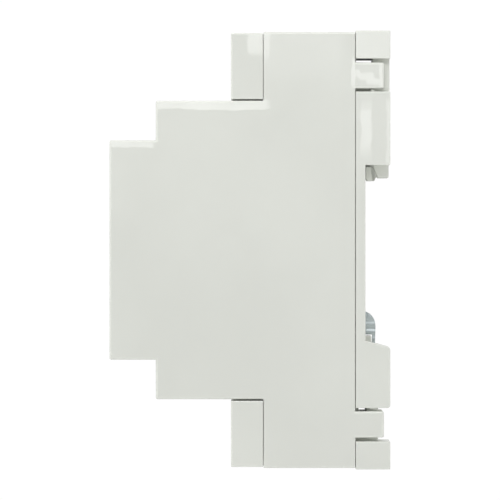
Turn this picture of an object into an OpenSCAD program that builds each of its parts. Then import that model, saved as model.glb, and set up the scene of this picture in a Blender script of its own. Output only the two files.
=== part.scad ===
// DIN rail contactor, four poles, two modules wide.
// X is the width, -Y the front (nose), +Y the rear (rail), +Z up.
// The origin lies on the rail seat plane, in the middle of the width and of the height.

/* [Envelope] */
// Width across two rail modules
width = 35.6; // [34:0.1:36]
// Overall height
height = 90; // [89:0.1:91]
// Nose front to rail seat
front_depth = 52.5; // [52:0.1:54]
// Rail seat to rear face
rear_depth = 5.1; // [5:0.05:5.5]

/* [Steps] */
// Height of the nose
nose_h = 45; // [44:0.1:46]
// Depth position of the front of the middle step
step_y = -43; // [-44:0.1:-42.8]
// Height of the middle step
step_h = 61.2; // [61:0.1:61.4]
// Depth position of the rear shoulder
shoulder_y = -20.9; // [-21:0.05:-20.8]
// Height of the rear housing block
block_h = 89.4; // [89:0.1:89.6]
// Wall thickness of the housing
wall = 1.5; // [1.4:0.05:1.6]

/* [Seams] */
// Gap between neighbouring mouldings
seam = 0.12; // [0.1:0.02:0.2]
// Depth position where the housing meets the base
split_y = -2.1; // [-2.2:0.05:-2]

/* [Rail] */
// Bottom edge of the rail seat
seat_lo = -18.6; // [-18.8:0.1:-18.4]
// Underside of the upper hook block
seat_hi = 17.4; // [17.2:0.1:17.6]
// Thickness of the spring steel strip
strip_t = 0.6; // [0.5:0.05:0.6]

/* [Poles] */
// Distance between neighbouring poles
pole_pitch = 8.4; // [8.3:0.05:8.5]
// Number of poles
pole_count = 4; // [4:1:4]
// Width of a contact bar
bar_w = 4.6; // [4.2:0.1:4.8]
// Thickness of a contact bar
bar_t = 1.2; // [1:0.1:1.2]

/* [Screws] */
// Shank radius of a terminal screw
screw_r = 2; // [1.9:0.05:2]
// Head radius of a terminal screw
head_r = 3; // [2.8:0.05:3]
// Shank radius of a coil screw
coil_screw_r = 1.5; // [1.4:0.05:1.5]
// Head radius of a coil screw
coil_head_r = 2.4; // [2.3:0.05:2.5]

/* [Hidden] */
half_w = width / 2;
half_h = height / 2;
inner_x = half_w - wall;
inner_z = block_h / 2 - wall;
base_y = split_y + seam;
core_x = 15;
tab_x = 16.3;
term_z = 37.5;
coil_z = 26.6;
fine = 48;
poles = [for (i = [0 : pole_count - 1]) (i - (pole_count - 1) / 2) * pole_pitch];
pole_ids = [for (i = [1 : pole_count]) i];
ends = [1, -1];
end_names = ["line", "load"];
coil_names = ["a1", "a2"];
clamp_ids = [for (i = [1 : 2 * pole_count]) i];

// A block between two corners, given as pairs for X, Y and Z
module block(x, y, z) {
  translate([x[0], y[0], z[0]])
    cube([x[1] - x[0], y[1] - y[0], z[1] - z[0]]);
}

// A cylinder along Y from y[0] to y[1] around the point (x, z)
module rod_y(x, z, y, r, sides = fine) {
  translate([x, y[0], z])
    rotate([-90, 0, 0])
      cylinder(r = r, h = y[1] - y[0], $fn = sides);
}

// A cylinder along X
module rod_x(x, y, z, r, sides = fine) {
  translate([x[0], y, z])
    rotate([0, 90, 0])
      cylinder(r = r, h = x[1] - x[0], $fn = sides);
}

// Extrudes an outline in (Y, Z) across the width from x[0] to x[1]
module across(x) {
  translate([x[0], 0, 0])
    rotate([90, 0, 90])
      linear_extrude(x[1] - x[0])
        children();
}

// The children and their mirror image below
module both_ends() {
  children();
  mirror([0, 0, 1])
    children();
}

// The children and their mirror image on the other side
module both_sides() {
  children();
  mirror([1, 0, 0])
    children();
}

// The children, mirrored below when the end is -1
module at_end(end) {
  mirror([0, 0, end < 0 ? 1 : 0])
    children();
}

// A helix of round wire standing on the XY plane, made of tilted half rings
module coil_spring(r, wire, turns, length) {
  rise = (length - wire) / (2 * turns);
  tilt = asin(rise / (2 * r));
  for (k = [0 : 2 * turns - 1])
    translate([0, 0, wire / 2 + (k + 0.5) * rise])
      rotate([0, 0, 180 * k])
        rotate([0, tilt, 0])
          rotate_extrude(angle = 180, $fn = 24)
            translate([r, 0])
              circle(r = wire / 2, $fn = 13);
}

// The children, stood up along +Y from the point (x, y, z)
module along_y(x, y, z) {
  translate([x, y, z])
    rotate([-90, 0, 0])
      children();
}

/* Housing */

// Stepped outline of the housing in (Y, Z), pulled inward by t
module housing_outline(t) {
  nose = nose_h / 2 - t;
  step = step_h / 2 - t;
  block = block_h / 2 - t;
  front = -front_depth + t;
  upper = [
    [front, nose],
    [step_y + t, nose],
    [step_y + t, step],
    [shoulder_y + t, step],
    [shoulder_y + t, block],
    [split_y + (t > 0 ? 1 : 0), block]
  ];
  lower = [for (i = [len(upper) - 1 : -1 : 0]) [upper[i][0], -upper[i][1]]];
  polygon(concat(upper, lower));
}

// Snap tongue that runs back over the base
module housing_tab(z, rear) {
  both_sides()
    block([tab_x, half_w], [split_y - 2, rear], z);
}

module housing() {
  color("whitesmoke") {
    difference() {
      across([-half_w, half_w])
        housing_outline(0);
      across([-inner_x, inner_x])
        housing_outline(wall);
      // label recess and indicator window in the nose
      block([-15.5, 15.5], [-front_depth - 1, -front_depth + 0.4], [-8.5, 20]);
      block([-4, 4], [-front_depth - 1, -front_depth + 2], [-17.5, -12.5]);
      both_ends() {
        // coil terminal: screw access and wire entry
        rod_y(0, coil_z, [step_y - 1, step_y + 2], 2.3);
        block([-2.1, 2.1], [-32.6, -29.6], [step_h / 2 - 2, step_h / 2 + 1]);
        // openings behind the terminal cover
        for (x = poles) {
          rod_y(x, term_z, [shoulder_y - 1, shoulder_y + 2], 2.6);
          block([x - 2.5, x + 2.5], [-10, -5.2], [inner_z - 1, half_h]);
          block([x - 3.1, x + 3.1], [-10.9, -4.4], [block_h / 2 - 0.5, half_h]);
        }
        for (x = [-pole_pitch, pole_pitch], z = [32.0, 42.2])
          block([x - 2.6, x + 2.6], [shoulder_y - 1, shoulder_y + 2], [z, z + 1]);
      }
    }
    both_ends() {
      // rim that reaches into the terminal cover
      both_sides()
        block([15.4, 16.4], [shoulder_y - 1, shoulder_y + 0.5], [32.3, 43.1]);
      // ribs between the terminal chambers
      for (x = [-pole_pitch, 0, pole_pitch])
        block([x - 0.4, x + 0.4], [-18.4, -3.5], [33.4, inner_z + 0.2]);
    }
    // snap tongues, upper pair and lower pair
    housing_tab([33.15, 38.45], 3.8);
    housing_tab([-38.45, -33.05], 3.8);
  }
}

/* Base */

// The four side zones of the base, as outlines in (Y, Z)
module base_zones() {
  translate([base_y, 39.25])
    square([rear_depth - base_y, half_h - 39.25]);
  translate([base_y, seat_hi])
    square([rear_depth - base_y, 32.5 - seat_hi]);
  translate([base_y, seat_lo - 1])
    square([-base_y, seat_hi - seat_lo + 2]);
  polygon([
    [base_y, seat_lo], [0, seat_lo], [4.65, -19.85], [4.95, -20.0], [rear_depth, -20.35],
    [rear_depth, -32.0], [rear_depth - 0.4, -32.4], [base_y, -32.4]
  ]);
  translate([base_y, -half_h])
    square([rear_depth - base_y, half_h - 39.25]);
}

module base() {
  color("gainsboro") {
    difference() {
      union() {
        // inner plate that closes the housing
        block([-inner_x + 0.15, inner_x - 0.15], [-3.3, base_y], [-inner_z + 0.2, inner_z - 0.2]);
        across([-half_w, half_w])
          base_zones();
        // core of the upper and of the lower notch
        block([-core_x, core_x], [base_y, 4.96], [32, 38.3]);
        block([-core_x, core_x], [1.4, 4.96], [38, 39.5]);
        block([-core_x, core_x], [base_y, 2.6], [-39.5, -33.2]);
        block([-core_x, core_x], [0.1, 2.6], [-33.5, -32.2]);
        block([-core_x, core_x], [base_y, -1.4], [-33.5, -32.2]);
        // teeth in the gaps beside the snap tongues
        across([-16.8, 16.8])
          polygon([[0.1, -32.2], [2.6, -32.2], [2.6, -32.9], [0.9, -32.7]]);
        block([-16.8, 16.8], [1.1, 1.9], [32.4, 33]);
        // upper lip, in two parts beside the tongue
        both_sides()
          across([6, 12.5])
            polygon([[1.6, 18], [1.6, 17.4], [1.7, 16.7], [2.6, 14.8], [4.8, 14.8], [4.8, 18]]);
      }
      // guide pocket of the tongue
      block([-5.2, 5.2], [-0.1, 1.3], [seat_hi - 1, 31.5]);
      block([-5.2, 5.2], [-0.1, 2.4], [seat_hi - 1, 18.4]);
      block([-12.4, 12.4], [-0.1, 1.3], [seat_hi - 1, 20.7]);
      block([-12.4, 12.4], [-0.1, 1.55], [seat_hi - 1, 19.4]);
      block([-0.7, 0.7], [1, 2.6], [seat_hi - 1, 20]);
      block([-0.7, 0.7], [1, 1.9], [seat_hi - 1, 22]);
      // channel of the spring leg, open to the rear
      block([-5.3, 5.3], [0.6, rear_depth + 1], [-31, seat_lo + 0.5]);
      // pocket of the spring's curl
      block([-5.1, 5.1], [-2.8, 1], [-17.9, -12.2]);
      // relief pockets in the rear faces
      for (x = [-11.7, 0, 11.7]) {
        block([x - 4.6, x + 4.6], [2.2, rear_depth + 1], [20.5, 30.5]);
        block([x - 4.6, x + 4.6], [1.4, rear_depth + 1], [40.7, 43.6]);
        block([x - 4.6, x + 4.6], [1.4, rear_depth + 1], [-43.6, -40.7]);
      }
      for (x = [-11.7, 11.7])
        block([x - 4.2, x + 4.2], [1.8, rear_depth + 1], [-30.6, -22.6]);
    }
    // post that stands in front of the window of the spring strip
    block([-1.9, 1.9], [-0.4, 1.1], [-19.8, -17.6]);
    // ledges under the edge of the rail, beside the spring strip
    both_sides()
      block([5.3, 6.6], [-0.4, 1.3], [-19.8, -17.6]);
    // slot that holds the foot of the spring strip
    block([-3, 3], [0.4, 1.35], [-31.2, -29.2]);
    block([-5.4, 5.4], [2.25, 3.4], [-31.2, -29.2]);
  }
}

/* Terminal covers */

// The cover over the upper terminals
module terminal_cover() {
  front = -27.6;
  back = shoulder_y - seam;
  low = step_h / 2 + 0.3;
  high = 44.5;
  difference() {
    union() {
      difference() {
        block([-half_w, half_w], [front, back], [low, high]);
        block([-half_w + 1.2, half_w - 1.2], [front + 1.4, back + 1], [low + 1.2, high - 1.2]);
      }
      for (x = poles)
        rod_y(x, term_z, [front + 1, back - 1], 3.7);
      // stand-off pads against the shoulder of the housing
      for (z = [low + 0.6, high - 0.6])
        block([-12, 12], [back - 0.2, back + seam - 0.04], [z - 0.5, z + 0.5]);
      for (x = [-pole_pitch, pole_pitch], z = [32.1, 42.3]) {
        block([x - 2.4, x + 2.4], [front + 1, shoulder_y + wall + 0.8], [z, z + 0.8]);
      }
    }
    for (x = poles)
      rod_y(x, term_z, [front - 1, back + 1], 3.1);
  }
}

module cover_top() {
  color("whitesmoke")
    terminal_cover();
}

module cover_bottom() {
  color("whitesmoke")
    mirror([0, 0, 1])
      terminal_cover();
}

/* Nose parts */

module label_plate() {
  color("lightgray")
    block([-15.3, 15.3], [-front_depth + 0.05, -front_depth + 0.4], [-8.3, 19.8]);
}

module indicator_window() {
  color("lightcyan")
    block([-3.9, 3.9], [-front_depth + 0.2, -front_depth + wall], [-17.4, -12.6]);
}

/* Rail clip */

// Centre line of the spring strip in (Y, Z)
strip_path = [
  [1.75, -30.6], [1.75, -19.4], [1.87, -15.8], [1.8, -15.0], [1.6, -14.35], [1.25, -13.8],
  [0.8, -13.35], [0.3, -13.05], [-0.2, -12.95], [-0.65, -13.15], [-0.92, -13.6], [-1.0, -14.2],
  [-1.0, -17.0]
];

// Sideways step at point i of a path, long enough to keep the strip's thickness at a bend
function strip_side(path, i, t) =
  let (
    before = path[max(i, 1)] - path[max(i, 1) - 1],
    after = path[min(i, len(path) - 2) + 1] - path[min(i, len(path) - 2)],
    u = before / norm(before),
    v = after / norm(after),
    sum = [-u[1] - v[1], u[0] + v[0]]
  )
  t * sum / (1 + u * v) / 2;

// A strip of even thickness along a path
module strip_outline(path, t) {
  last = len(path) - 1;
  polygon(concat(
    [for (i = [0 : last]) path[i] + strip_side(path, i, t)],
    [for (i = [last : -1 : 0]) path[i] - strip_side(path, i, t)]
  ));
}

module rail_spring() {
  color("silver")
    difference() {
      union() {
        across([-4.8, 4.8])
          strip_outline(strip_path, strip_t);
        // cheeks folded forward on both sides
        both_sides()
          across([4.2, 4.8])
            polygon(concat(
              [for (i = [2 : 7]) strip_path[i]],
              [[0, -13.05], [0, -17.4], [1.8, -17.4]]
            ));
      }
      block([-2.2, 2.2], [1, 3], [-20.6, -17.2]);
    }
}

module rail_tongue() {
  color("gainsboro") {
    across([-5, 5])
      polygon([
        [0.1, 27], [0.1, 14.9], [0.4, 14.2], [1.9, 14.2],
        [2.1, 14.7], [1.55, 14.9], [1.1, 16.8], [1.1, 27]
      ]);
    // wings beside the stem
    across([-12.2, 12.2])
      polygon([[0.1, 17.1], [0.1, 14.9], [0.4, 14.2], [1.4, 14.2], [1.4, 14.9], [1.1, 16.6], [1.1, 17.1]]);
    // guide rib behind the finger
    across([-0.5, 0.5])
      polygon([[1, 18.4], [1, 15], [2.1, 14.7], [2.4, 15], [1.75, 17], [1.75, 18.4]]);
  }
}

// Centre line of the folded spring above the tongue, in (Y, Z)
tongue_spring_path = [
  [0.6, 27.1], [1.0, 27.7], [0.2, 28.6], [1.0, 29.5], [0.2, 30.4], [0.6, 31.3]
];

module tongue_spring() {
  color("lightsteelblue")
    across([-4, 4])
      strip_outline(tongue_spring_path, 0.15);
}

/* Coil and magnet */

module contact_deck() {
  color("dimgray")
    difference() {
      union() {
        block([-16.1, 16.1], [-29, -27.2], [-19.8, 19.8]);
        both_sides()
          block([14.5, 16.1], [-28, -3.3], [-17.8, 17.8]);
      }
      // window of the carrier stem
      block([-8.7, 8.7], [-30, -26], [-3.5, 3.5]);
      for (x = [-11.5, 11.5])
        rod_y(x, 0, [-30, -26], 2.5);
      // notches of the coil strips
      both_ends()
        block([7.3, 9.9], [-30, -26], [18.3, 21]);
    }
}

// An E shaped core in (Y, Z) with its legs pointing to y_tip
module core_outline(y_back, y_yoke, y_tip) {
  yoke = [min(y_back, y_yoke), max(y_back, y_yoke)];
  leg = [min(y_yoke, y_tip), max(y_yoke, y_tip)];
  translate([yoke[0], -17])
    square([yoke[1] - yoke[0], 34]);
  for (z = [[-17, -12.8], [-4.2, 4.2], [12.8, 17]])
    translate([leg[0], z[0]])
      square([leg[1] - leg[0], z[1] - z[0]]);
}

module armature() {
  color("slategray")
    difference() {
      across([-6.5, 6.5])
        core_outline(-26.4, -21.9, -19);
      rod_x([-8, 8], -24.2, 0, 1.2);
    }
}

module armature_pin() {
  color("silver")
    rod_x([-8.4, 8.4], -24.2, 0, 1.2);
}

module fixed_core() {
  color("slategray")
    difference() {
      across([-6.5, 6.5])
        core_outline(-4.1, -8.6, -16.6);
      // grooves of the shading rings in the outer legs
      both_ends()
        block([-8, 8], [-17.6, -15.6], [14.5, 15.1]);
    }
}

// One copper ring, let into a leg of the fixed core
module shading_ring() {
  difference() {
    block([-7.2, 7.2], [-16.5, -15.7], [14.5, 17.7]);
    block([-6.5, 6.5], [-17, -15], [15.1, 17.0]);
  }
}

module shading_rings() {
  color("orangered")
    both_ends()
      shading_ring();
}

module core_pad() {
  color("black")
    block([-6.5, 6.5], [-4.1, -3.3], [-17, 17]);
}

module coil_bobbin() {
  color("ivory")
    difference() {
      union() {
        block([-7.6, 7.6], [-19.2, -8.6], [-5.3, 5.3]);
        block([-13, 13], [-19.2, -18.3], [-12.5, 12.5]);
        block([-13, 13], [-9.5, -8.6], [-12.5, 12.5]);
      }
      block([-6.8, 6.8], [-20, -8], [-4.5, 4.5]);
    }
}

module coil_winding() {
  color("peru")
    difference() {
      block([-12.5, 12.5], [-18.3, -9.5], [-12, 12]);
      block([-7.6, 7.6], [-19, -9], [-5.3, 5.3]);
    }
}

/* Contacts */

module contact_carrier() {
  color("darkslategray")
    difference() {
      union() {
        block([-15.5, 15.5], [-41, -31.5], [-3.2, 3.2]);
        block([-7.6, 7.6], [-32, -26.4], [-3.2, 3.2]);
        both_sides()
          block([6.6, 8.4], [-28, -22.2], [-3.2, 3.2]);
      }
      for (x = poles)
        block([x - 2.6, x + 2.6], [-39, -33.8], [-4, 4]);
      rod_x([-9, 9], -24.2, 0, 1.2);
    }
}

module indicator_flag() {
  color("red") {
    block([-2.5, 2.5], [-42.2, -41], [-15, 3.2]);
    block([-2.5, 2.5], [-50.7, -41], [-16.5, -13.5]);
  }
}

module contact_bridge(x) {
  color("orange")
    block([x - 2.1, x + 2.1], [-34.8, -33.8], [-11, 11]);
}

module moving_tips() {
  color("silver")
    for (x = poles, z = [-8.5, 8.5])
      rod_y(x, z, [-33.8, -33.2], 1.6);
}

module fixed_tips() {
  color("silver")
    for (x = poles, z = [-8.5, 8.5])
      rod_y(x, z, [-30.8, -30.2], 1.6);
}

module bridge_springs() {
  color("lightsteelblue")
    for (x = poles)
      along_y(x, -39, 0)
        coil_spring(1.5, 0.4, 4, 4.2);
}

module return_springs() {
  color("lightsteelblue")
    for (x = [-11.5, 11.5])
      along_y(x, -31.5, 0)
        coil_spring(1.9, 0.4, 7, 12.3);
}

// Contact bar of one pole, from its tip back to the terminal
module contact_bar(x, end) {
  w = [x - bar_w / 2, x + bar_w / 2];
  color("orange")
    at_end(end) {
      block(w, [-30.2, -30.2 + bar_t], [6.4, 21.2]);
      block(w, [-30.2, -10.1], [21.2 - bar_t, 21.2]);
      block(w, [-10.1 - bar_t, -10.1], [21.2 - bar_t, 42]);
    }
}

/* Terminals */

// Cage clamp of a main terminal, open upwards and downwards
module terminal_clamp(x, end) {
  color("goldenrod")
    at_end(end)
      difference() {
        block([x - 3.5, x + 3.5], [-14.9, -3.9], [33, 42]);
        block([x - 2.6, x + 2.6], [-13.6, -5.1], [32, 43]);
        rod_y(x, term_z, [-16, -13], 2.05);
      }
}

// Screw of a main terminal with a crossed recess
module terminal_screw(x, end) {
  color("silver")
    at_end(end)
      difference() {
        union() {
          rod_y(x, term_z, [-18.1, -11.35], screw_r);
          rod_y(x, term_z, [-19.3, -18], head_r);
        }
        block([x - 0.35, x + 0.35], [-20, -18.7], [term_z - 2, term_z + 2]);
        block([x - 2, x + 2], [-20, -18.7], [term_z - 0.35, term_z + 0.35]);
      }
}

module coil_clamp(end) {
  color("goldenrod")
    at_end(end)
      difference() {
        block([-3, 3], [-37, -28.5], [23.8, 28.8]);
        block([-2.4, 2.4], [-36, -29.5], [22, 30]);
        rod_y(0, coil_z, [-38, -35.5], 1.55);
      }
}

module coil_screw(end) {
  color("silver")
    at_end(end)
      difference() {
        union() {
          rod_y(0, coil_z, [-40.2, -33.6], coil_screw_r);
          rod_y(0, coil_z, [-41.4, -40.1], coil_head_r);
        }
        block([-0.3, 0.3], [-42, -40.8], [coil_z - 1.7, coil_z + 1.7]);
        block([-1.7, 1.7], [-42, -40.8], [coil_z - 0.3, coil_z + 0.3]);
      }
}

// Strip that joins a coil terminal to the winding
module coil_strip(end) {
  color("gold")
    at_end(end) {
      block([-2.2, 2.2], [-33.5, -32.7], [18.6, 28.5]);
      block([-2.2, 9.6], [-33.5, -31.5], [18.6, 19.4]);
      block([7.6, 9.6], [-33.5, -19.2], [18.6, 19.4]);
      block([7.6, 9.6], [-20, -19.2], [11, 19.4]);
    }
}

housing();
base();
cover_top();
cover_bottom();
label_plate();
indicator_window();
rail_spring();
rail_tongue();
contact_deck();
fixed_core();
shading_rings();
core_pad();
coil_bobbin();
coil_winding();
armature();
armature_pin();
contact_carrier();
indicator_flag();
moving_tips();
fixed_tips();
bridge_springs();
return_springs();
tongue_spring();
for (i = pole_ids)
  contact_bridge(poles[i - 1]);
for (e = [0, 1], i = pole_ids)
  contact_bar(poles[i - 1], ends[e]);
for (e = [0, 1], i = pole_ids)
  terminal_clamp(poles[i - 1], ends[e]);
for (e = [0, 1], i = pole_ids)
  terminal_screw(poles[i - 1], ends[e]);
for (e = [0, 1])
  coil_clamp(ends[e]);
for (e = [0, 1])
  coil_screw(ends[e]);
for (e = [0, 1])
  coil_strip(ends[e]);
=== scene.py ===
import math

import bmesh
import bpy
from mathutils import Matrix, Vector


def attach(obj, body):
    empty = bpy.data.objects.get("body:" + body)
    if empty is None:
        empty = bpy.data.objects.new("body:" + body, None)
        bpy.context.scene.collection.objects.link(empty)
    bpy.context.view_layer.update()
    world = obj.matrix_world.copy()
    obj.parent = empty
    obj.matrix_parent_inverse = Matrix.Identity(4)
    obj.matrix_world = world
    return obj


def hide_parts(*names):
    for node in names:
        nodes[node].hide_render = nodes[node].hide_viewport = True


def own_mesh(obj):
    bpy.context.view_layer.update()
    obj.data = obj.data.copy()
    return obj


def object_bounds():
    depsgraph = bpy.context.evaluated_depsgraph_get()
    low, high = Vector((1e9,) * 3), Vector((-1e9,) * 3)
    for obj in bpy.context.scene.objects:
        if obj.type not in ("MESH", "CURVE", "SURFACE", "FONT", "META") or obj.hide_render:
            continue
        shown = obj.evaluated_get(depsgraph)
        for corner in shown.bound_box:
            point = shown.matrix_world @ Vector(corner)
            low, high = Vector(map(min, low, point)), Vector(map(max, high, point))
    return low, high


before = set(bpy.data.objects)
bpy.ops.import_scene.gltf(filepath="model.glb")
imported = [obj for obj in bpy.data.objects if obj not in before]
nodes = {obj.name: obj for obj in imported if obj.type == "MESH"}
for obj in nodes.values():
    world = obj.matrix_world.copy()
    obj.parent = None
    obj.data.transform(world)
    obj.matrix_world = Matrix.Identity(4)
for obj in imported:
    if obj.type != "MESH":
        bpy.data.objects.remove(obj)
cad_lo, cad_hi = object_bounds()
scene = bpy.context.scene

MM = 0.001
POLE_PITCH = 8.4
POLES = [(i - 1.5) * POLE_PITCH for i in range(4)]

# rounded corners: (width in metres, segments, shortest corner rounded)
HOUSING_CORNERS = (0.0004, 4, 0.0012)
COVER_CORNERS = (0.0003, 4, 0.0012)
BASE_CORNERS = (0.0002, 3, 0.0002)
TONGUE_CORNERS = (0.0001, 3, 0.0012)
CLAMP_CORNERS = (0.0002, 3, 0.0012)
# the seams behind the housing and behind the covers, as planes in Y
SEAM = 0.00012
HOUSING_REAR = -0.0021
SHOULDER = -0.0209
SEAM_PLANES = (HOUSING_REAR, HOUSING_REAR + SEAM, SHOULDER, SHOULDER - SEAM)
SEAM_WEIGHT = 0.3
SHARP_ANGLE = math.radians(35)
FLAT_ANGLE = math.radians(0.2)
TINY = 1e-6

# camera
DISTANCE = 3.0
PICTURE_WIDTH = 0.1025
SENSOR_WIDTH = 36.0
VIEW_CENTRE_Y = -0.02368

# light and surroundings
LIGHT_TARGET = (0, -0.0237, 0)
# softbox: (place, size, power)
SOFTBOXES = {
    "key": ((1.04, -0.1, 0.6), (0.56, 0.36), 3.6),
    "front": ((0.7, -0.86, 0.0), (0.6, 0.9), 2.3),
    "top": ((0.2, -0.06, 0.3), (0.16, 0.16), 0.22),
    "rear": ((0.7, 0.8, 0.1), (0.3, 1.0), 1.2),
}
SKY_BEHIND = 1.02
SKY_IN_FRONT = 0.24
SKY_BELOW = 0.6
FLOOR_REACH = 3
FLOOR_Z = -0.3
FLOOR_SEEN = 0.93
FLOOR_EVENNESS = 0.65


# Materials

def map_range(tree, value, source, target=(0.0, 1.0), smooth=True):
    """Maps the source range of a value to the target range."""
    node = tree.nodes.new("ShaderNodeMapRange")
    if smooth:
        node.interpolation_type = "SMOOTHSTEP"
    node.inputs["From Min"].default_value = source[0]
    node.inputs["From Max"].default_value = source[1]
    node.inputs["To Min"].default_value = target[0]
    node.inputs["To Max"].default_value = target[1]
    tree.links.new(value, node.inputs["Value"])
    return node.outputs["Result"]


class Graph:
    """Builds one procedural material."""

    def __init__(self, name):
        self.material = bpy.data.materials.new(name)
        self.material.use_nodes = True
        self.tree = self.material.node_tree
        self.shader = self.tree.nodes["Principled BSDF"]
        self.coords = self.add("TexCoord").outputs["Object"]

    def add(self, kind):
        return self.tree.nodes.new("ShaderNode" + kind)

    def link(self, source, target):
        self.tree.links.new(source, target)

    def noise(self, scale, detail=3.0, stretch=None):
        """Noise in object space; stretch scales the coordinates per axis."""
        source = self.coords
        if stretch:
            mapping = self.add("Mapping")
            mapping.inputs["Scale"].default_value = stretch
            self.link(source, mapping.inputs["Vector"])
            source = mapping.outputs["Vector"]
        texture = self.add("TexNoise")
        texture.inputs["Scale"].default_value = scale
        texture.inputs["Detail"].default_value = detail
        self.link(source, texture.inputs["Vector"])
        return texture.outputs["Fac"]

    def spread(self, noise, low, high):
        """Spreads the middle of a noise over the range low to high."""
        return map_range(self.tree, noise, (0.3, 0.7), (low, high))

    def colours(self, fac, first, second):
        """Sets the base colour to a mix of two colours."""
        node = self.add("Mix")
        node.data_type = "RGBA"
        node.inputs[6].default_value = (*first, 1)
        node.inputs[7].default_value = (*second, 1)
        self.link(self.spread(fac, 0.0, 1.0), node.inputs[0])
        self.link(node.outputs[2], self.shader.inputs["Base Color"])

    def roughness(self, noise, middle, drift):
        self.link(self.spread(noise, middle - drift, middle + drift), self.shader.inputs["Roughness"])

    def swell(self, centre, radii):
        """1 at the centre, falling smoothly to 0 at the radii."""
        mapping = self.add("Mapping")
        mapping.inputs["Location"].default_value = [-c / r for c, r in zip(centre, radii)]
        mapping.inputs["Scale"].default_value = [1 / r for r in radii]
        self.link(self.coords, mapping.inputs["Vector"])
        ball = self.add("TexGradient")
        ball.gradient_type = "QUADRATIC_SPHERE"
        self.link(mapping.outputs["Vector"], ball.inputs["Vector"])
        return ball.outputs["Fac"]

    def math(self, operation, first, second=0):
        node = self.add("Math")
        node.operation = operation
        for socket, value in zip(node.inputs, (first, second)):
            if isinstance(value, (int, float)):
                socket.default_value = value
            else:
                self.link(value, socket)
        return node.outputs[0]

    def part(self, vector, letter):
        """One component of a vector."""
        split = self.add("SeparateXYZ")
        self.link(vector, split.inputs[0])
        return split.outputs[letter]

    def plateau(self, value, low, high, soft):
        """1 between low and high in millimetres, 0 outside, over soft edges."""
        half = soft / 2
        rise = map_range(self.tree, value, ((low - half) * MM, (low + half) * MM))
        fall = map_range(self.tree, value, ((high + half) * MM, (high - half) * MM))
        return self.math("MULTIPLY", rise, fall)

    def lean(self, patches, steepest=0.27):
        """Side faces lean up inside patches, as over the sinks of a moulding.

        A patch is ((Y range), (Z range), (soft Y, soft Z), lean).
        """
        y, z = self.part(self.coords, "Y"), self.part(self.coords, "Z")
        wander = self.math("MULTIPLY", self.math("SUBTRACT", self.noise(260, 1), 0.5), 0.0012)
        y = self.math("ADD", y, wander)
        z = self.math("ADD", z, wander)
        total = 0.0
        for y_range, z_range, soft, tilt in patches:
            across = self.plateau(y, *y_range, soft[0])
            upward = self.plateau(z, *z_range, soft[1])
            window = self.math("MULTIPLY", across, upward)
            total = self.math("ADD", self.math("MULTIPLY", window, tilt), total)
        facing = self.add("NewGeometry").outputs["Normal"]
        sideways = map_range(self.tree, self.math("ABSOLUTE", self.part(facing, "X")), (0.5, 0.8))
        upright = self.add("CombineXYZ")
        amount = self.math("MULTIPLY", self.math("MINIMUM", total, steepest), sideways)
        self.link(amount, upright.inputs["Z"])
        leaning = self.add("VectorMath")
        self.link(facing, leaning.inputs[0])
        self.link(upright.outputs[0], leaning.inputs[1])
        unit = self.add("VectorMath")
        unit.operation = "NORMALIZE"
        self.link(leaning.outputs[0], unit.inputs[0])
        self.link(unit.outputs[0], self.shader.inputs["Normal"])

    def bump(self, height, strength, distance):
        """Adds a bump on top of the normal set so far."""
        node = self.add("Bump")
        node.inputs["Strength"].default_value = strength
        node.inputs["Distance"].default_value = distance
        self.link(height, node.inputs["Height"])
        normal = self.shader.inputs["Normal"]
        if normal.is_linked:
            self.link(normal.links[0].from_socket, node.inputs["Normal"])
        self.link(node.outputs["Normal"], normal)


def tint(colour, k):
    return tuple(c * k for c in colour)


def moulded(name, colour, rough, grain=0.00002, drift=0.025, patches=()):
    """Moulded plastic: faint colour drift, fine grain and slightly uneven gloss."""
    g = Graph(name)
    if patches:
        g.lean(patches)
    g.colours(g.noise(35), tint(colour, 1 - drift), tint(colour, 1 + drift))
    g.roughness(g.noise(200, 4), rough, 0.025)
    g.bump(g.noise(1600, 3), 0.35, grain)
    g.shader.inputs["IOR"].default_value = 1.5
    return g


def metal(name, colour, rough, stretch=(1, 1, 1), scale=400, drift=0.08, grain=0.00001):
    """Metal with a rolled or turned grain along one axis."""
    g = Graph(name)
    g.colours(g.noise(scale * 0.2, 3, stretch), tint(colour, 1 - drift), tint(colour, 1 + drift))
    g.roughness(g.noise(scale, 4, stretch), rough, 0.08)
    g.bump(g.noise(scale * 2, 3, stretch), 0.3, grain)
    g.shader.inputs["Metallic"].default_value = 1.0
    return g


def painted_light_in_recesses(g, colour, reach):
    """Side faces within the reach (from, to) of the middle are painted paler, as painted light against
    the shade in the recesses.
    """
    facing = g.add("TexCoord").outputs["Normal"]
    sideways = g.math("GREATER_THAN", g.math("ABSOLUTE", g.part(facing, "X")), 0.7)
    depth = g.math("ABSOLUTE", g.part(g.coords, "X"))
    beyond = g.math("GREATER_THAN", depth, reach[0])
    short_of = g.math("LESS_THAN", depth, reach[1])
    node = g.add("Mix")
    node.data_type = "RGBA"
    g.link(g.math("MULTIPLY", sideways, g.math("MULTIPLY", beyond, short_of)), node.inputs[0])
    g.link(g.shader.inputs["Base Color"].links[0].from_socket, node.inputs[6])
    node.inputs[7].default_value = (*colour, 1)
    g.link(node.outputs[2], g.shader.inputs["Base Color"])


def rolled_bands(g, centre, length, slope, radii):
    """Soft bands across the steel, (Y, Z) in millimetres, that catch the light in turn."""
    per_turn = 2 * math.pi / (length * MM)
    turns = g.math("MULTIPLY", g.math("SUBTRACT", g.part(g.coords, "Z"), centre[1] * MM), per_turn)
    wave = g.math("SINE", turns)
    window = g.swell((0, centre[0] * MM, centre[1] * MM), (1, radii[0] * MM, radii[1] * MM))
    g.bump(g.math("MULTIPLY", g.math("MULTIPLY", wave, window), -slope / per_turn), 1.0, 1.0)


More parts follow.
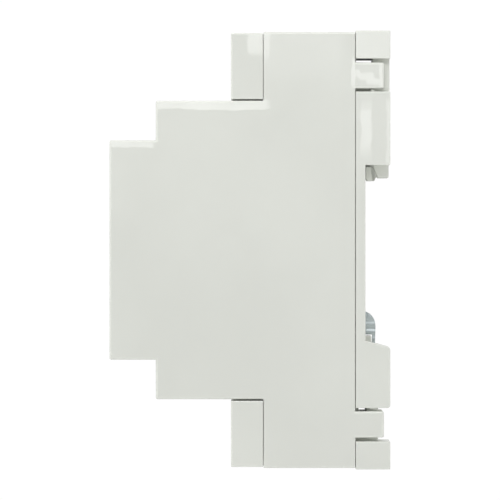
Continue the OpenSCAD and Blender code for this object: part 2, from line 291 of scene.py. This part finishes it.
# where the side faces catch the key light: ((Y range), (Z range), (soft Y, soft Z), lean)
HOUSING_PATCHES = [
    # under the top edges of the nose and of the middle step
    ((-53, -43.4), (21.0, 23), (1.4, 0.3), 0.26),
    ((-43.2, -19.8), (28.8, 31), (1.6, 0.35), 0.26),
    # beside the seam of the terminal cover
    ((-21.2, -19.6), (40.0, 45), (0.8, 3.0), 0.22),
    # at the root of the upper snap tongue
    ((-3.0, -2.2), (33.2, 39.4), (0.4, 2.0), 0.25),
    # the sinks and the rear edge of the upper snap tongue
    ((-2.2, -1.2), (35.3, 36.9), (0.5, 0.8), 0.2),
    ((-1.4, 1.5), (34.9, 36.2), (0.9, 0.8), 0.22),
    ((0.2, 3.4), (33.9, 34.9), (0.8, 0.7), 0.2),
    ((2.9, 3.9), (33.6, 38.6), (0.5, 0.6), 0.22),
    # the upper part of the rear block, and the whole snap tongue
    ((-22, -4), (34, 60), (4, 10), 0.13),
    ((-1.9, 4.5), (32, 39), (0.3, 0.5), 0.06),
]
COVER_PATCHES = [((-24.0, -20.9), (40.2, 46), (1.0, 2.4), 0.22)]
BASE_PATCHES = [
    # the sink of the upper block
    ((-1.0, 1.25), (19.5, 29.8), (0.6, 7.0), 0.24),
    ((-1.8, 1.2), (26.8, 28.4), (0.6, 1.2), 0.1),
    # the upper end block
    ((-3, 6), (38, 50), (1.0, 2.0), 0.18),
    # the rear edge of the upper block
    ((4.3, 6), (18, 31), (0.5, 1.5), 0.24),
]
GREY = (0.675, 0.69, 0.645)
# how far from the middle the recessed side faces lie
RECESSED = (0.0119, 0.0172)

housing_plastic = moulded("housing_plastic", GREY, 0.3, patches=HOUSING_PATCHES)
cover_plastic = moulded("cover_plastic", tint(GREY, 1.01), 0.3, patches=COVER_PATCHES)
base_plastic = moulded("base_plastic", tint(GREY, 1.01), 0.33, patches=BASE_PATCHES)
# painted light: the recessed side faces of the base are painted paler against their shade
painted_light_in_recesses(base_plastic, tint(GREY, 1.28), RECESSED)
tongue_plastic = moulded("tongue_plastic", GREY, 0.42)
# painted light: the recessed side faces of the tongue are painted paler against their shade
painted_light_in_recesses(tongue_plastic, tint(GREY, 1.25), RECESSED)
# the rounded corners: slightly glossier, and paler by a tenth as a painted highlight along them
edge_highlight_plastic = moulded("edge_highlight_plastic", tint(GREY, 1.1), 0.26)
dark_plastic = moulded("dark_plastic", (0.035, 0.037, 0.04), 0.5, drift=0.15)
deck_plastic = moulded("deck_plastic", (0.1, 0.1, 0.105), 0.55, drift=0.15)
bobbin_plastic = moulded("bobbin_plastic", (0.7, 0.67, 0.58), 0.45)
red_plastic = moulded("red_plastic", (0.62, 0.03, 0.02), 0.35)
label_film = moulded("label_film", (0.72, 0.73, 0.72), 0.34, grain=0.000005)
ink_plastic = moulded("ink", (0.05, 0.055, 0.06), 0.5)
rubber = moulded("rubber", (0.02, 0.02, 0.021), 0.75, grain=0.00004, drift=0.2)
spring_steel = metal("spring_steel", (0.6, 0.665, 0.68), 0.36, (8, 1, 1))
rolled_bands(spring_steel, (0.9, -16.45), 1.55, 0.2, (9, 9))
wire_steel = metal("wire_steel", (0.55, 0.56, 0.57), 0.28)
plated = metal("plated_steel", (0.47, 0.465, 0.44), 0.3)
clamp_metal = metal("clamp_metal", (0.62, 0.62, 0.6), 0.36, (1, 6, 1))
copper = metal("copper", (0.83, 0.42, 0.26), 0.32, (6, 1, 1))
ring_copper = metal("ring_copper", (0.8, 0.4, 0.24), 0.3)
silver = metal("silver_tips", (0.8, 0.8, 0.77), 0.35)
brass = metal("brass", (0.78, 0.58, 0.28), 0.33, (1, 6, 1))
core_steel = metal("core_steel", (0.3, 0.31, 0.33), 0.42, (120, 1, 1), 60, 0.25, 0.00003)
winding_wire = metal("winding_wire", (0.5, 0.2, 0.07), 0.3, (1, 1, 1))

window = Graph("clear_window")
window.colours(window.noise(60), (0.82, 0.9, 0.9), (0.9, 0.95, 0.95))
window.roughness(window.noise(90), 0.085, 0.035)
window.bump(window.noise(500), 0.2, 0.00001)
window.shader.inputs["Transmission Weight"].default_value = 0.9
window.shader.inputs["IOR"].default_value = 1.45


def paint(graph, *names):
    for name in names:
        nodes[name].data.materials.clear()
        nodes[name].data.materials.append(graph.material)


def numbered(stem, count):
    return [f"{stem}_{i}" for i in range(1, count + 1)]


CLAMPS = numbered("terminal_clamp", 8) + ["coil_clamp_a1", "coil_clamp_a2"]
SCREWS = numbered("terminal_screw", 8) + ["coil_screw_a1", "coil_screw_a2"]
BARS = numbered("contact_bridge", 4) + numbered("line_contact", 4) + numbered("load_contact", 4)

paint(housing_plastic, "housing")
paint(cover_plastic, "cover_top", "cover_bottom")
paint(base_plastic, "base")
paint(tongue_plastic, "rail_tongue")
paint(label_film, "label_plate")
paint(window, "indicator_window")
paint(red_plastic, "indicator_flag")
paint(dark_plastic, "contact_carrier")
paint(deck_plastic, "contact_deck")
paint(bobbin_plastic, "coil_bobbin")
paint(winding_wire, "coil_winding")
paint(rubber, "core_pad")
paint(core_steel, "fixed_core", "armature")
paint(ring_copper, "shading_rings")
paint(silver, "fixed_tips", "moving_tips")
paint(spring_steel, "rail_spring")
paint(wire_steel, "bridge_springs", "return_springs", "tongue_spring")
paint(plated, "armature_pin", *SCREWS)
paint(clamp_metal, *CLAMPS)
paint(brass, "coil_strip_a1", "coil_strip_a2")
paint(copper, *BARS)


# Softened corners on the moulded and stamped parts

def corner_weight(start, end):
    """Corners along a seam between two mouldings are rounded less."""
    on_seam = any(abs(start.y - y) < 1e-5 and abs(end.y - y) < 1e-5 for y in SEAM_PLANES)
    return SEAM_WEIGHT if on_seam else 1.0


def mark_edges(mesh, shortest):
    """Weights the long outward corners for the bevel, and keeps every other corner sharp."""
    sides = {}
    for face in mesh.polygons:
        for key, loop in zip(face.edge_keys, face.loop_indices):
            ends = [tuple(round(c / TINY) for c in mesh.vertices[v].co) for v in key]
            sides.setdefault(frozenset(ends), []).append((mesh.loops[loop].edge_index, face))
    weights = mesh.attributes.new("bevel_weight_edge", "FLOAT", "EDGE")
    for ends, pair in sides.items():
        if len(pair) != 2 or len(ends) != 2:
            continue
        (_, first), (_, second) = pair
        if first.normal.angle(second.normal, math.pi) < SHARP_ANGLE:
            continue
        start, end = [Vector(p) * TINY for p in ends]
        outward = (second.center - (start + end) / 2).dot(first.normal) < 0
        rounded = outward and (end - start).length > shortest
        for edge, _ in pair:
            weights.data[edge].value = corner_weight(start, end) if rounded else 0.0
            mesh.edges[edge].use_edge_sharp = not rounded


def soften(name, corners, edge=None):
    """Rounds the long corners; edge is the material of the rounded corners, glossier and paler as a
    painted highlight.
    """
    width, segments, shortest = corners
    o = nodes[name]
    stored = o.data.attributes.get("custom_normal")
    if stored:
        o.data.attributes.remove(stored)
    mark_edges(o.data, shortest)
    weld = o.modifiers.new("weld", "WELD")
    weld.merge_threshold = TINY
    flat = o.modifiers.new("flat", "DECIMATE")
    flat.decimate_type = "DISSOLVE"
    flat.angle_limit = FLAT_ANGLE
    flat.delimit = {"SHARP"}
    bevel = o.modifiers.new("bevel", "BEVEL")
    bevel.width = width
    bevel.segments = segments
    bevel.limit_method = "WEIGHT"
    bevel.use_clamp_overlap = False
    bevel.loop_slide = False
    if edge:
        o.data.materials.append(edge.material)
        bevel.material = len(o.data.materials) - 1
    for p in o.data.polygons:
        p.use_smooth = True
    # triangles keep faces with notches and holes flat, and the split keeps unrounded corners crisp
    o.modifiers.new("triangles", "TRIANGULATE")
    split = o.modifiers.new("split", "EDGE_SPLIT")
    split.split_angle = SHARP_ANGLE
    normal = o.modifiers.new("normal", "WEIGHTED_NORMAL")
    normal.keep_sharp = True


soften("housing", HOUSING_CORNERS, edge_highlight_plastic)
for name in ("cover_top", "cover_bottom"):
    soften(name, COVER_CORNERS, edge_highlight_plastic)
soften("base", BASE_CORNERS, edge_highlight_plastic)
soften("rail_tongue", TONGUE_CORNERS)
for name in CLAMPS:
    soften(name, CLAMP_CORNERS)


# Smooth-shaded copies of the springs

def follow_joint(name):
    """A smooth-shaded copy of a CAD spring on the root body, in place of the hidden CAD spring."""
    copy = bpy.data.objects.new(name + "_wire", nodes[name].data.copy())
    scene.collection.objects.link(copy)
    for polygon in copy.data.polygons:
        polygon.use_smooth = True
    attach(copy, "root")
    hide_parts(name)
    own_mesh(copy)


follow_joint("return_springs")
follow_joint("tongue_spring")


# Drawing on the label: four switched lines and a coil

LINE = 0.35
DASH = 0.3
DRAWING_DEPTH = (-52.48, -52.44)


def drawing_mesh(name, strokes, depths):
    """Flat strokes (x1, z1, x2, z2, width) in millimetres, between two depths."""
    bm = bmesh.new()
    for x1, z1, x2, z2, width in strokes:
        start, end = Vector((x1, 0, z1)), Vector((x2, 0, z2))
        run = (end - start).normalized()
        side = Vector((-run.z, 0, run.x)) * width / 2
        outline = [start - side, end - side, end + side, start + side]
        rings = [[bm.verts.new(Vector((p.x, y, p.z)) * MM) for p in outline] for y in depths]
        bm.faces.new(rings[0])
        bm.faces.new(rings[1][::-1])
        for i in range(4):
            j = (i + 1) % 4
            bm.faces.new((rings[0][j], rings[0][i], rings[1][i], rings[1][j]))
    bmesh.ops.recalc_face_normals(bm, faces=bm.faces)
    mesh = bpy.data.meshes.new(name)
    bm.to_mesh(mesh)
    bm.free()
    return mesh


strokes = []
for x in POLES:
    # the two ends of the line, the blade, and the two terminal marks
    strokes += [(x, 17.5, x, 11.5, LINE), (x, 6.0, x, 0.5, LINE), (x - 2.0, 11.2, x, 6.0, LINE)]
    strokes += [(x - 0.7, 17.5, x + 0.7, 17.5, LINE), (x - 0.7, 0.5, x + 0.7, 0.5, LINE)]
# the dashed link between the blades
strokes += [(x, 8.6, x + 0.5, 8.6, DASH) for x in [-13.0 + 1.2 * k for k in range(22)]]
# the coil and its two leads
strokes += [(-3, -3, 3, -3, LINE), (-3, -6, 3, -6, LINE), (-3, -3, -3, -6, LINE), (3, -3, 3, -6, LINE)]
strokes += [(0, -1.2, 0, -3, LINE), (0, -6, 0, -7.6, LINE)]
drawing = bpy.data.objects.new("label_drawing", drawing_mesh("label_drawing", strokes, DRAWING_DEPTH))
scene.collection.objects.link(drawing)
drawing.data.materials.append(ink_plastic.material)
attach(drawing, "root")


# Camera: from the right, level with the middle of the object

cam_data = bpy.data.cameras.new("camera")
cam = bpy.data.objects.new("camera", cam_data)
scene.collection.objects.link(cam)
cam_data.lens = SENSOR_WIDTH * DISTANCE / PICTURE_WIDTH
cam_data.sensor_width = SENSOR_WIDTH
cam_data.clip_start = 1.0
cam_data.clip_end = 60.0
cam.location = (cad_hi[0] + DISTANCE, VIEW_CENTRE_Y, 0.0)
cam.rotation_euler = (math.radians(90), 0, math.radians(90))
scene.camera = cam


# Light and surroundings

def softbox(name, place, size, power):
    data = bpy.data.lights.new(name, "AREA")
    data.shape = "RECTANGLE"
    data.size, data.size_y = size
    data.energy = power
    o = bpy.data.objects.new(name, data)
    scene.collection.objects.link(o)
    o.location = place
    o.rotation_euler = (Vector(LIGHT_TARGET) - Vector(place)).to_track_quat("-Z", "Y").to_euler()
    o.visible_camera = False


for name, (place, size, power) in SOFTBOXES.items():
    softbox(name, place, size, power)


def white_sky():
    """A white surround, darker in front of the right side and below, and even white to the camera."""
    world = bpy.data.worlds.new("world")
    scene.world = world
    world.use_nodes = True
    tree = world.node_tree
    link = tree.links.new
    parts = tree.nodes.new("ShaderNodeSeparateXYZ")
    link(tree.nodes.new("ShaderNodeTexCoord").outputs["Generated"], parts.inputs[0])
    side = map_range(tree, parts.outputs["X"], (-0.2, 1.0), (SKY_BEHIND, SKY_IN_FRONT))
    below = map_range(tree, parts.outputs["Z"], (-0.7, -0.05), (SKY_BELOW, 1.0), smooth=False)
    strength = tree.nodes.new("ShaderNodeMath")
    strength.operation = "MULTIPLY"
    link(side, strength.inputs[0])
    link(below, strength.inputs[1])
    seen = tree.nodes.new("ShaderNodeMix")
    seen.inputs["B"].default_value = SKY_BEHIND
    link(tree.nodes.new("ShaderNodeLightPath").outputs["Is Camera Ray"], seen.inputs["Factor"])
    link(strength.outputs[0], seen.inputs["A"])
    background = tree.nodes["Background"]
    link(seen.outputs["Result"], background.inputs["Strength"])
    background.inputs["Color"].default_value = (1.0, 1.0, 1.0, 1)


def mix_shaders(g, factor, first, second):
    node = g.add("MixShader")
    for source, socket in zip((factor, first, second), node.inputs):
        g.link(source, socket)
    return node.outputs[0]


def pale_floor():
    """The floor looks evenly pale, without hard patches of light, and is clear from below."""
    g = moulded("floor_paint", (0.8, 0.8, 0.79), 0.7)
    even = g.add("Emission")
    even.inputs["Strength"].default_value = FLOOR_SEEN
    direct = g.math("MULTIPLY", g.add("LightPath").outputs["Is Camera Ray"], FLOOR_EVENNESS)
    evened = mix_shaders(g, direct, g.shader.outputs[0], even.outputs[0])
    underside = g.add("NewGeometry").outputs["Backfacing"]
    surface = mix_shaders(g, underside, evened, g.add("BsdfTransparent").outputs[0])
    g.link(surface, g.tree.nodes["Material Output"].inputs["Surface"])
    corners = [(x, y, FLOOR_Z) for x, y in ((-1, -1), (1, -1), (1, 1), (-1, 1))]
    mesh = bpy.data.meshes.new("floor")
    mesh.from_pydata([(x * FLOOR_REACH, y * FLOOR_REACH, z) for x, y, z in corners], [], [(0, 1, 2, 3)])
    o = bpy.data.objects.new("floor", mesh)
    scene.collection.objects.link(o)
    o.data.materials.append(g.material)


white_sky()
pale_floor()
scene.view_settings.view_transform = "Standard"
